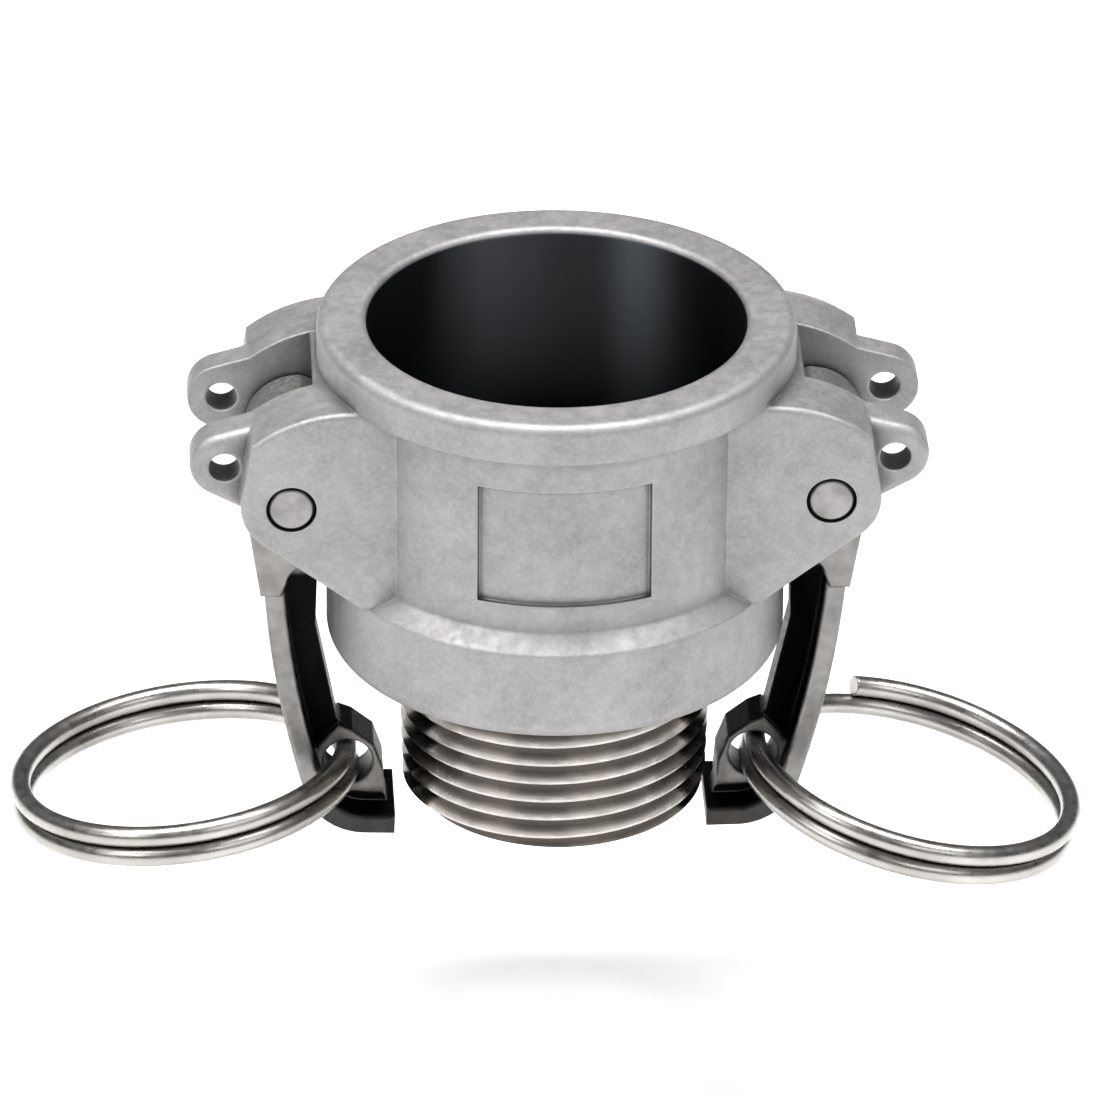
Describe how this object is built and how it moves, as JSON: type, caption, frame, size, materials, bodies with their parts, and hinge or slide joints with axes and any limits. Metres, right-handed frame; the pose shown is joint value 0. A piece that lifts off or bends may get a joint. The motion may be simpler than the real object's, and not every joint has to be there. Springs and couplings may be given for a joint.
{
  "type": "cam and groove coupling",
  "caption": "Lever coupling: a socket with two hinged cam arms and pull rings above a male taper thread, for joining hose to pipe.",
  "frame": {"origin": "centre of the male thread's end face", "axes": "+Z along the bore towards the socket's mouth; the arms hinge at +X and -X on pins parallel to Y; the thread end faces -Z"},
  "size_m": [0.0935, 0.041, 0.0508],
  "materials": {
    "cast_steel": "bead-blasted investment-cast stainless steel, bore and thread machined",
    "arm_steel": "tumbled cast stainless steel",
    "pin_steel": "drawn stainless steel rod",
    "ring_steel": "polished spring wire",
    "gasket_rubber": "smooth black nitrile rubber"
  },
  "bodies": {
    "body": {"coupler_body": "cast_steel", "socket_gasket": "gasket_rubber", "pivot_pin_right": "pin_steel", "pivot_pin_left": "pin_steel"},
    "right_arm": {"cam_arm_right": "arm_steel"},
    "left_arm": {"cam_arm_left": "arm_steel"},
    "right_ring": {"pull_ring_right": "ring_steel"},
    "left_ring": {"pull_ring_left": "ring_steel"}
  },
  "joints": [
    {"name": "right_arm_hinge", "type": "hinge", "parent": "body", "child": "right_arm", "pos_m": [0.02295, 0, 0.03275], "axis": [0, -1, 0], "range_deg": [-0.6, 110]},
    {"name": "left_arm_hinge", "type": "hinge", "parent": "body", "child": "left_arm", "pos_m": [-0.02295, 0, 0.03275], "axis": [0, 1, 0], "range_deg": [-2, 108]},
    {"name": "right_ring_swing", "type": "hinge", "parent": "right_arm", "child": "right_ring", "pos_m": [0.01726, 0, 0.00299], "axis": [0, 1, 0], "range_deg": [-60, 80]},
    {"name": "left_ring_swing", "type": "hinge", "parent": "left_arm", "child": "left_ring", "pos_m": [-0.01799, 0, 0.00286], "axis": [0, -1, 0], "range_deg": [-60, 80]}
  ]
}
